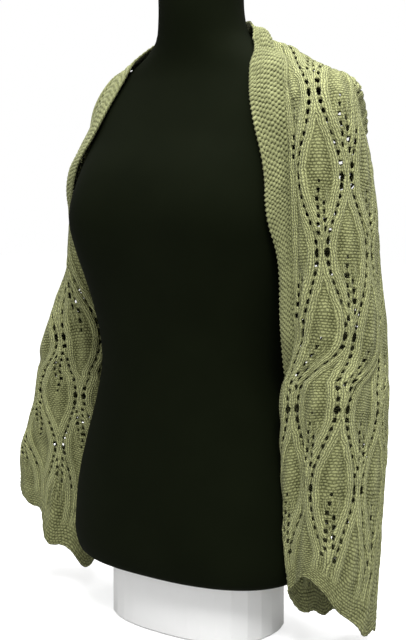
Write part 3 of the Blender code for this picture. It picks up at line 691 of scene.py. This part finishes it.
def lace_relief(side, across, along, column_of, rim):
    """Height of the knitting in millimetres, how much of it is plain knit stitches, and
    the distance from the nearest rib line, which the wales follow."""
    number = np.repeat(column_of[None, :], across.shape[0], axis=0)
    start = strip_mm(rib_at(number - 1, along))
    end = strip_mm(rib_at(number, along))
    place = strip_mm(across)
    from_rib = np.maximum(np.minimum(place - start, end - place), 0)
    from_middle = np.abs(place - (start + end) / 2)
    share = share_of_repeat(side, number, along)
    rope = ease(from_rib, 0.3, 2.8) * (1 - ease(from_rib, ROPE_WIDTH - 2.0, ROPE_WIDTH + 1.5))
    leaf = ease(share, 0.12, 0.30) * (1 - ease(share, 0.48, 0.60))
    beside_rope = ease(from_rib, ROPE_WIDTH, ROPE_WIDTH + 4)
    leaf_puff = leaf * np.exp(-((from_middle / LEAF_WIDTH) ** 2)) * beside_rope
    lower = ease(share, 0.52, 0.62) * (1 - ease(share, 0.90, 0.98))
    spine = lower * np.exp(-((from_middle / SPINE_WIDTH) ** 2))
    flank = lower * np.exp(-(((from_middle - FLANK_PLACE) / FLANK_WIDTH) ** 2))
    height = (ROPE_HEIGHT * rope + LEAF_HEIGHT * leaf_puff + SPINE_HEIGHT * spine
              + FLANK_HEIGHT * flank + RIM_HEIGHT * rim)
    knit = np.clip(rope * 1.5 + spine + flank, 0, 1)
    edging = ease(along, *EDGING)
    row = length_mm(along)
    seeds = np.cos(math.pi * place / SEED_ACROSS) * np.cos(math.pi * row / (SEED_ALONG * 1.3))
    height = height * (1 - 0.85 * edging) + edging * (0.8 + 0.9 * seeds)
    return height, knit * (1 - edging), from_rib


def creases(side, across, along):
    """Height of the small creases in millimetres."""
    height = np.zeros(across.shape)
    for where, centre, place, wide, long, lean, depth in CREASES:
        if where != side:
            continue
        up = (along - place) / long
        over = (across - centre - lean * (along - place)) / wide
        height = height + depth * np.exp(-(over**2) - up**2)
    return height


def grid_normal(middle):
    """Outward direction of a grid of points from its neighbours."""
    over = np.gradient(middle, axis=1)
    down = np.gradient(middle, axis=0)
    return unit(np.cross(down, over))


# ------------------------------------------------------------------ meshes
def grid_mesh(name, points, values, gone=None):
    """Mesh of a grid of points with named values on them, without the faces at gone points."""
    rows, cells = points.shape[:2]
    build = bmesh.new()
    bmesh.ops.create_grid(build, x_segments=cells - 1, y_segments=rows - 1, size=1.0)
    place = build.verts.layers.int.new("grid_place")
    spots = points.reshape(-1, 3)
    for number, vertex in enumerate(build.verts):
        vertex.co = spots[number]
        vertex[place] = number
    if gone is not None:
        build.verts.ensure_lookup_table()
        lost = [build.verts[number] for number in np.flatnonzero(gone.ravel())]
        bmesh.ops.delete(build, geom=lost, context="VERTS")
    for face in build.faces:
        face.smooth = True
    mesh = bpy.data.meshes.new(name)
    build.to_mesh(mesh)
    build.free()
    order = np.zeros(len(mesh.vertices), np.int32)
    mesh.attributes["grid_place"].data.foreach_get("value", order)
    mesh.attributes.remove(mesh.attributes["grid_place"])
    for label, numbers in values.items():
        attribute = mesh.attributes.new(label, "FLOAT", "POINT")
        attribute.data.foreach_set("value", numbers.ravel()[order].astype(np.float32))
    return mesh


def link(item):
    """Put an object into the scene."""
    bpy.context.scene.collection.objects.link(item)


def add_piece(name, mesh, material, nodes, thickness=0.0):
    """Object of one mesh, in place of its nodes."""
    item = bpy.data.objects.new(name, mesh)
    link(item)
    mesh.materials.append(material)
    if thickness:
        shell = item.modifiers.new("thickness", "SOLIDIFY")
        shell.thickness = thickness
        shell.offset = 0.0
    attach(item, "root")
    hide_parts(*nodes)
    return item


def mirror(points, side):
    """The right side is the left side's mirror."""
    return points * np.array([SIGN[side], 1.0, 1.0])


def knit_side(side, material):
    """Front and back panel of one side."""
    across, along, column_of = side_grid()
    gone, rim = cut_eyelets(side, across, along)
    height, knit, from_rib = lace_relief(side, across, along, column_of, rim)
    middle = cloth_middle(side, across, along)
    normal = grid_normal(middle)
    closed = along[:, 0] > UNDERARM
    seam = unit(normal[closed, 0] + normal[closed, -1])
    normal[closed, 0] = seam
    normal[closed, -1] = seam
    normal[0, :, 0] = 0.0
    normal[0] = unit(normal[0])
    lift = height + creases(side, across, along) + WAVER * uneven(across * 2.2, along * 3.5, 3)
    lift = (lift - SINK) * calm_where_bunched(middle, across, along)
    points = middle + normal * (lift * MM)[..., None]
    meet_centre(points, along)
    points = mirror(points, side)
    values = {
        "wale": from_rib / WALE,
        "course": length_mm(along) / COURSE,
        "knit": knit,
        # painted shade: the relief's height sets the colour, so the knitting is painted darker in its
        # low hollows beside the ropes and leaves
        "painted_shade_height": np.clip(height / PAINTED_SHADE_RANGE, 0, 1),
    }
    half = 8 * COLUMN_CELLS
    for part, cut in (("front", slice(0, half + 1)), ("back", slice(half, 2 * half + 1))):
        held = points[:, cut]
        name = side + "_" + part
        cut_values = {label: numbers[:, cut] for label, numbers in values.items()}
        mesh = grid_mesh(name + "_knit", held, cut_values, gone[:, cut])
        turn_out(mesh, held, side)
        item = add_piece(name + "_knit", mesh, material, [name], THICK)


def calm_where_bunched(middle, across, along):
    """Share of the relief that is left where the cloth is pushed together."""
    down = np.linalg.norm(np.gradient(middle, axis=0), axis=2)
    over = np.linalg.norm(np.gradient(middle, axis=1), axis=2)
    flat_down = np.gradient(along, axis=0) * HALF_LENGTH
    flat_over = np.gradient(across, axis=1) * STRIP_WIDTH
    stretch = np.minimum(down / np.maximum(flat_down, 0.0005), over / np.maximum(flat_over, 0.0005))
    rough = np.clip((stretch - 0.25) / 0.5, CALM_FLOOR, 1.0)
    rough = rough * (1 - 0.5 * ease(across, 0.50, 0.56) * (1 - ease(across, 0.74, 0.80))
                     * ease(along, 0.20, 0.28) * (1 - ease(along, 0.44, 0.52)))
    smooth = rough.copy()
    for _ in range(CALM_ROUNDS):
        smooth[1:-1] = (smooth[:-2] + smooth[1:-1] + smooth[2:]) / 3
        smooth[:, 1:-1] = (smooth[:, :-2] + smooth[:, 1:-1] + smooth[:, 2:]) / 3
    return smooth


def turn_out(mesh, held, side):
    """The grid's order gives outward faces on one side only."""
    rows, cells = held.shape[:2]
    middle_row = rows // 2
    middle_cell = cells // 2
    down = held[middle_row + 1, middle_cell] - held[middle_row - 1, middle_cell]
    over = held[middle_row, middle_cell + 1] - held[middle_row, middle_cell - 1]
    out = np.cross(down, over) * SIGN[side]
    spot = held[middle_row, middle_cell]
    centres = np.zeros(len(mesh.polygons) * 3)
    normals = np.zeros(len(mesh.polygons) * 3)
    mesh.polygons.foreach_get("center", centres)
    mesh.polygons.foreach_get("normal", normals)
    nearest = np.argmin(((centres.reshape(-1, 3) - spot) ** 2).sum(axis=1))
    if np.dot(out, normals.reshape(-1, 3)[nearest]) < 0:
        mesh.flip_normals()


def knit_band(side, lower, material):
    """Moss-stitch strip along one side's edge of the opening."""
    along_line = np.linspace(0, BAND_TIP, BAND_ROWS + 1)
    out_line = np.linspace(0, 1, BAND_CELLS + 1)
    out, along = np.meshgrid(out_line, along_line)
    middle = band_middle(side, lower, out, along)
    normal = grid_normal(middle)
    if not lower:
        normal = -normal
    normal[0, :, 0] = 0.0
    normal[0] = unit(normal[0])
    place = out * BAND_WIDTH / MM
    row = length_mm(along)
    drift = 0.9 * uneven(out, along * 3, 5)
    slanted = row + SEED_SLANT * place
    seeds = (np.cos(math.pi * (place + drift) / SEED_ACROSS)
             * np.cos(math.pi * (slanted + drift) / SEED_ALONG))
    lift = SEED_HEIGHT * seeds + 0.7 * uneven(out * 0.8, along * 2.2, 8)
    edge = np.gradient(middle, axis=1)
    bead = 0.9 * MM * np.cos(math.pi * slanted / SEED_ALONG) * ease(out, 0.9, 1.0)
    nudge = unit(edge) * bead[..., None]
    points = middle + normal * (lift * MM)[..., None] + nudge
    meet_centre(points, along)
    points = mirror(points, side)
    name = side + ("_hem_band" if lower else "_front_band")
    # painted shade: the band's colour is painted darker in the low places between its moss-stitch seeds
    painted_shade_height = np.clip(0.42 + 0.75 * seeds, 0, 1)
    values = {"wale": place / SEED_ACROSS, "course": slanted / SEED_ALONG, "knit": out * 0, "painted_shade_height": painted_shade_height}
    mesh = grid_mesh(name + "_knit", points, values)
    turn_out(mesh, points, "left" if (side == "left") == lower else "right")
    item = add_piece(name + "_knit", mesh, material, [name], THICK)


def cover_form(material):
    """Smooth dress form in its jersey cover."""
    heights = FORM_TABLE[:, 0] * MM
    fine = []
    for low, high in zip(heights[:-1], heights[1:]):
        count = max(2, round((high - low) / 0.009))
        fine.extend(np.linspace(low, high, count, endpoint=False))
    fine.append(heights[-1])
    angle = np.linspace(-math.pi * 1.5, math.pi / 2, FORM_SIDES, endpoint=False)
    build = bmesh.new()
    rings = []
    for height in fine:
        level = np.full(FORM_SIDES, height)
        radius = form_radius(angle, level)
        centre = form_size(height)[0, 3] * MM
        spots = np.stack([radius * np.cos(angle), radius * np.sin(angle) + centre, level], axis=-1)
        rings.append([build.verts.new(spot) for spot in spots])
    for lower_ring, upper_ring in zip(rings[:-1], rings[1:]):
        for place in range(FORM_SIDES):
            after = (place + 1) % FORM_SIDES
            corners = (lower_ring[place], lower_ring[after], upper_ring[after], upper_ring[place])
            face = build.faces.new(corners)
            face.smooth = True
    build.faces.new(list(reversed(rings[0])))
    build.faces.new(rings[-1])
    mesh = bpy.data.meshes.new("form_cover")
    build.to_mesh(mesh)
    build.free()
    return add_piece("form_cover", mesh, material, ["dress_form"])


# ------------------------------------------------------------------ materials
def new_group(name, inputs, outputs):
    """Shader node group with float sockets."""
    group = bpy.data.node_groups.new(name, "ShaderNodeTree")
    for label, value in inputs:
        socket = group.interface.new_socket(label, in_out="INPUT", socket_type="NodeSocketFloat")
        socket.default_value = value
    for label in outputs:
        group.interface.new_socket(label, in_out="OUTPUT", socket_type="NodeSocketFloat")
    return group, group.nodes.new("NodeGroupInput"), group.nodes.new("NodeGroupOutput")


def maths(tree, operation, first, second=None, third=None):
    """One Math node; its inputs are numbers or sockets."""
    node = tree.nodes.new("ShaderNodeMath")
    node.operation = operation
    for place, value in enumerate((first, second, third)):
        if value is None:
            continue
        if isinstance(value, (int, float)):
            node.inputs[place].default_value = value
        else:
            tree.links.new(value, node.inputs[place])
    return node.outputs[0]


def knit_group():
    """Knit stitches: a column of V shapes, each of two slanting legs."""
    group, given, made = new_group("knit_stitch", (("Wale", 0.0), ("Course", 0.0)), ("Height",))
    over = maths(group, "FRACT", given.outputs["Wale"])
    over = maths(group, "ABSOLUTE", maths(group, "SUBTRACT", over, 0.5))
    leg = maths(group, "MULTIPLY", maths(group, "SUBTRACT", over, 0.25), 4.0)
    leg = maths(group, "SUBTRACT", 1.0, maths(group, "MULTIPLY", leg, leg))
    slant = maths(group, "MULTIPLY_ADD", over, -1.3, given.outputs["Course"])
    turn = maths(group, "SUBTRACT", maths(group, "MULTIPLY", maths(group, "FRACT", slant), 2.0), 1.0)
    turn = maths(group, "SUBTRACT", 1.0, maths(group, "MULTIPLY", turn, turn))
    turn = maths(group, "MULTIPLY_ADD", turn, 0.6, 0.4)
    group.links.new(maths(group, "MULTIPLY", leg, turn), made.inputs["Height"])
    return group


def purl_group():
    """Purl stitches: rows of short round bumps, each row set off by half a stitch."""
    group, given, made = new_group("purl_stitch", (("Wale", 0.0), ("Course", 0.0)), ("Height",))
    level = maths(group, "FLOOR", given.outputs["Course"])
    over = maths(group, "MULTIPLY_ADD", level, 0.5, given.outputs["Wale"])
    over = maths(group, "SINE", maths(group, "MULTIPLY", maths(group, "FRACT", over), math.pi))
    up = maths(group, "FRACT", given.outputs["Course"])
    up = maths(group, "SINE", maths(group, "MULTIPLY", up, math.pi))
    bump = maths(group, "MULTIPLY", maths(group, "POWER", over, 0.6), up)
    group.links.new(bump, made.inputs["Height"])
    return group


def attribute(tree, name):
    """A value stored on the mesh."""
    node = tree.nodes.new("ShaderNodeAttribute")
    node.attribute_name = name
    return node.outputs["Fac"]


def noise(tree, place, scale, detail=3.0):
    """Noise in the object's own metres."""
    node = tree.nodes.new("ShaderNodeTexNoise")
    node.inputs["Scale"].default_value = scale
    node.inputs["Detail"].default_value = detail
    tree.links.new(place, node.inputs["Vector"])
    return node.outputs["Fac"]


def mix_colours(tree, share, first, second):
    """Mix of two colours, each a tuple or a socket."""
    node = tree.nodes.new("ShaderNodeMix")
    node.data_type = "RGBA"
    tree.links.new(share, node.inputs["Factor"])
    for value, socket in ((first, node.inputs[6]), (second, node.inputs[7])):
        if isinstance(value, tuple):
            socket.default_value = value
        else:
            tree.links.new(value, socket)
    return node.outputs[2]


def new_material(name):
    """Material with its Principled BSDF and the object's own coordinates."""
    material = bpy.data.materials.new(name)
    material.use_nodes = True
    tree = material.node_tree
    shader = tree.nodes["Principled BSDF"]
    place = tree.nodes.new("ShaderNodeTexCoord").outputs["Object"]
    return material, tree, shader, place


def add_bump(tree, shader, height, strength, distance):
    """Bump from a height, into the shader's normal."""
    bump = tree.nodes.new("ShaderNodeBump")
    bump.inputs["Strength"].default_value = strength
    bump.inputs["Distance"].default_value = distance
    tree.links.new(height, bump.inputs["Height"])
    tree.links.new(bump.outputs["Normal"], shader.inputs["Normal"])


def yarn_material(name, dark, light, moss):
    """Soft plied yarn in knit and purl stitches, heathered, with fuzz on its edges; its colour carries
    painted shade, darker in the grooves between stitches and in the low parts of the relief.
    """
    material, tree, shader, place = new_material(name)
    knit = tree.nodes.new("ShaderNodeGroup")
    knit.node_tree = bpy.data.node_groups["knit_stitch"]
    purl = tree.nodes.new("ShaderNodeGroup")
    purl.node_tree = bpy.data.node_groups["purl_stitch"]
    wander = maths(tree, "MULTIPLY", maths(tree, "SUBTRACT", noise(tree, place, 70.0), 0.5), 1.3)
    wale = maths(tree, "ADD", attribute(tree, "wale"), wander)
    course = maths(tree, "ADD", attribute(tree, "course"), wander)
    tree.links.new(wale, knit.inputs["Wale"])
    tree.links.new(course, knit.inputs["Course"])
    finer = 1.0 if moss else 1.15
    tree.links.new(maths(tree, "MULTIPLY", wale, finer), purl.inputs["Wale"])
    tree.links.new(maths(tree, "MULTIPLY", course, finer), purl.inputs["Course"])
    purl_height = maths(tree, "MULTIPLY_ADD", purl.outputs["Height"], 0.62, 0.0 if moss else 0.12)
    share = attribute(tree, "knit")
    stitch = tree.nodes.new("ShaderNodeMix")
    stitch.data_type = "FLOAT"
    tree.links.new(share, stitch.inputs["Factor"])
    tree.links.new(purl_height, stitch.inputs[2])
    tree.links.new(knit.outputs["Height"], stitch.inputs[3])
    stitch = stitch.outputs[0]
    fibre = noise(tree, place, 900.0, 4.0)
    height = maths(tree, "MULTIPLY_ADD", fibre, 0.35, stitch)
    add_bump(tree, shader, height, 1.0, 0.8 * MM if moss else 2.0 * MM)
    # painted shade: the colour is darkened by the stitch height and by the relief's height, so grooves
    # and hollows are painted darker
    shade_by_depth, shade_by_stitch, ground = (0.95, 0.25, -0.16) if moss else (0.38, 1.05, -0.26)
    painted_shade_height = maths(tree, "MULTIPLY_ADD", attribute(tree, "painted_shade_height"), shade_by_depth, ground)
    tone = maths(tree, "MULTIPLY_ADD", stitch, shade_by_stitch, painted_shade_height)
    tone = maths(tree, "ADD", tone, maths(tree, "MULTIPLY_ADD", noise(tree, place, 60.0), 0.5, -0.15))
    tone = maths(tree, "ADD", tone, maths(tree, "MULTIPLY_ADD", fibre, 0.35, -0.22))
    clamp = tree.nodes.new("ShaderNodeClamp")
    tree.links.new(tone, clamp.inputs["Value"])
    tree.links.new(mix_colours(tree, clamp.outputs[0], dark, light), shader.inputs["Base Color"])
    shader.inputs["Roughness"].default_value = 0.92
    shader.inputs["Specular IOR Level"].default_value = 0.15
    shader.inputs["Sheen Weight"].default_value = 0.22
    shader.inputs["Sheen Roughness"].default_value = 0.45
    shader.inputs["Sheen Tint"].default_value = (0.75, 0.78, 0.55, 1.0)
    return material


def jersey_material():
    """Dark stretch jersey with a fine upright rib."""
    material, tree, shader, place = new_material("form_jersey")
    split = tree.nodes.new("ShaderNodeSeparateXYZ")
    tree.links.new(place, split.inputs[0])
    turn = maths(tree, "ARCTAN2", split.outputs["Y"], split.outputs["X"])
    rib = maths(tree, "SINE", maths(tree, "MULTIPLY", turn, 640.0))
    loops = maths(tree, "SINE", maths(tree, "MULTIPLY", split.outputs["Z"], 4200.0))
    weave = maths(tree, "MULTIPLY", rib, loops)
    cloud = noise(tree, place, 14.0)
    grain = noise(tree, place, 1400.0, 2.0)
    height = maths(tree, "MULTIPLY_ADD", grain, 0.6, weave)
    add_bump(tree, shader, height, 0.25, 0.25 * MM)
    tone = maths(tree, "MULTIPLY_ADD", grain, 0.5, maths(tree, "MULTIPLY", cloud, 0.5))
    tree.links.new(mix_colours(tree, tone, (0.0016, 0.0025, 0.0006, 1.0), (0.0060, 0.0082, 0.0030, 1.0)),
                   shader.inputs["Base Color"])
    shader.inputs["Roughness"].default_value = 0.9
    shader.inputs["Specular IOR Level"].default_value = 0.04
    return material


def foot_material():
    """Pale matt lacquer with faint brushing."""
    material, tree, shader, place = new_material("foot_lacquer")
    cloud = noise(tree, place, 30.0)
    grain = noise(tree, place, 700.0)
    add_bump(tree, shader, grain, 0.15, 0.1 * MM)
    tree.links.new(mix_colours(tree, cloud, (0.90, 0.90, 0.89, 1.0), (0.96, 0.96, 0.95, 1.0)),
                   shader.inputs["Base Color"])
    shader.inputs["Roughness"].default_value = 0.6
    return material


# ------------------------------------------------------------------ stage
CAMERA_TURN = math.radians(38.0)        # round the form from its front
CAMERA_DISTANCE = 1.55
CAMERA_HEIGHT = 0.558
CAMERA_TILT = math.radians(5.55)
CAMERA_LENS = 65.5
VIEW_OFFSET = 6 / 640


def set_camera():
    """Camera at the form's left front, looking slightly down."""
    data = bpy.data.cameras.new("camera")
    data.lens = CAMERA_LENS
    data.sensor_width = 36.0
    data.shift_x = VIEW_OFFSET
    camera = bpy.data.objects.new("camera", data)
    camera.location = (math.sin(CAMERA_TURN) * CAMERA_DISTANCE,
                       -math.cos(CAMERA_TURN) * CAMERA_DISTANCE, CAMERA_HEIGHT)
    camera.rotation_euler = (math.pi / 2 - CAMERA_TILT, 0.0, CAMERA_TURN)
    link(camera)
    bpy.context.scene.camera = camera


def add_light(name, place, aim, size, power):
    """Square soft light."""
    data = bpy.data.lights.new(name, "AREA")
    data.size = size
    data.energy = power
    lamp = bpy.data.objects.new(name, data)
    lamp.location = place
    toward = np.array(aim) - np.array(place)
    flat = math.hypot(toward[0], toward[1])
    turn = math.atan2(toward[1], toward[0]) - math.pi / 2
    lamp.rotation_euler = (math.atan2(flat, -toward[2]), 0.0, turn)
    link(lamp)


def seen_or_lighting(tree, seen, lighting, surface):
    """One shader for what the camera sees and another for the light that it gives."""
    rays = tree.nodes.new("ShaderNodeLightPath")
    choice = tree.nodes.new("ShaderNodeMixShader")
    tree.links.new(rays.outputs["Is Camera Ray"], choice.inputs[0])
    tree.links.new(lighting.outputs[0], choice.inputs[1])
    tree.links.new(seen.outputs[0], choice.inputs[2])
    tree.links.new(choice.outputs[0], surface)


def set_stage():
    """Pale floor, pale surroundings and soft light from above."""
    build = bmesh.new()
    bmesh.ops.create_grid(build, x_segments=2, y_segments=2, size=9.0)
    mesh = bpy.data.meshes.new("floor")
    build.to_mesh(mesh)
    build.free()
    material, tree, shader, _ = new_material("floor_pale")
    shader.inputs["Base Color"].default_value = (0.97, 0.97, 0.97, 1.0)
    shader.inputs["Emission Color"].default_value = (1.0, 1.0, 1.0, 1.0)
    shader.inputs["Emission Strength"].default_value = 0.60
    shader.inputs["Roughness"].default_value = 0.9
    dim = tree.nodes.new("ShaderNodeBsdfDiffuse")
    dim.inputs["Color"].default_value = (0.62, 0.62, 0.62, 1.0)
    seen_or_lighting(tree, shader, dim, tree.nodes["Material Output"].inputs["Surface"])
    mesh.materials.append(material)
    floor = bpy.data.objects.new("floor", mesh)
    link(floor)
    floor.location = (0.0, 0.0, -0.0005)
    world = bpy.data.worlds.new("surroundings")
    world.use_nodes = True
    sky = world.node_tree
    glow = sky.nodes["Background"]
    glow.inputs["Color"].default_value = (1.0, 1.0, 1.0, 1.0)
    glow.inputs["Strength"].default_value = 0.56
    plain = sky.nodes.new("ShaderNodeBackground")
    plain.inputs["Color"].default_value = (1.0, 1.0, 1.0, 1.0)
    seen_or_lighting(sky, plain, glow, sky.nodes["World Output"].inputs["Surface"])
    bpy.context.scene.world = world
    add_light("key_light", (1.1, -1.2, 2.2), (0.1, 0.0, 0.55), 0.8, 50.0)
    add_light("top_light", (0.1, 0.1, 1.9), (0.0, 0.0, 0.6), 1.0, 31.0)
    bpy.context.scene.view_settings.view_transform = "Standard"


set_camera()
set_stage()
knit_group()
purl_group()
yarn = yarn_material("shrug_yarn", (0.052, 0.055, 0.016, 1.0), (0.415, 0.432, 0.198, 1.0), False)
# painted shade: the band is the same yarn as the shrug, given darker colours to stand in for the shade
# where it turns in toward the form
band_yarn_painted_shade = yarn_material("band_yarn_painted_shade", (0.026, 0.028, 0.008, 1.0), (0.325, 0.340, 0.160, 1.0), True)
cover_form(jersey_material())
foot = bpy.data.objects["form_foot"]
foot.data.materials.clear()
foot.data.materials.append(foot_material())
for side in ("left", "right"):
    knit_side(side, yarn)
    knit_band(side, False, band_yarn_painted_shade)
    knit_band(side, True, band_yarn_painted_shade)
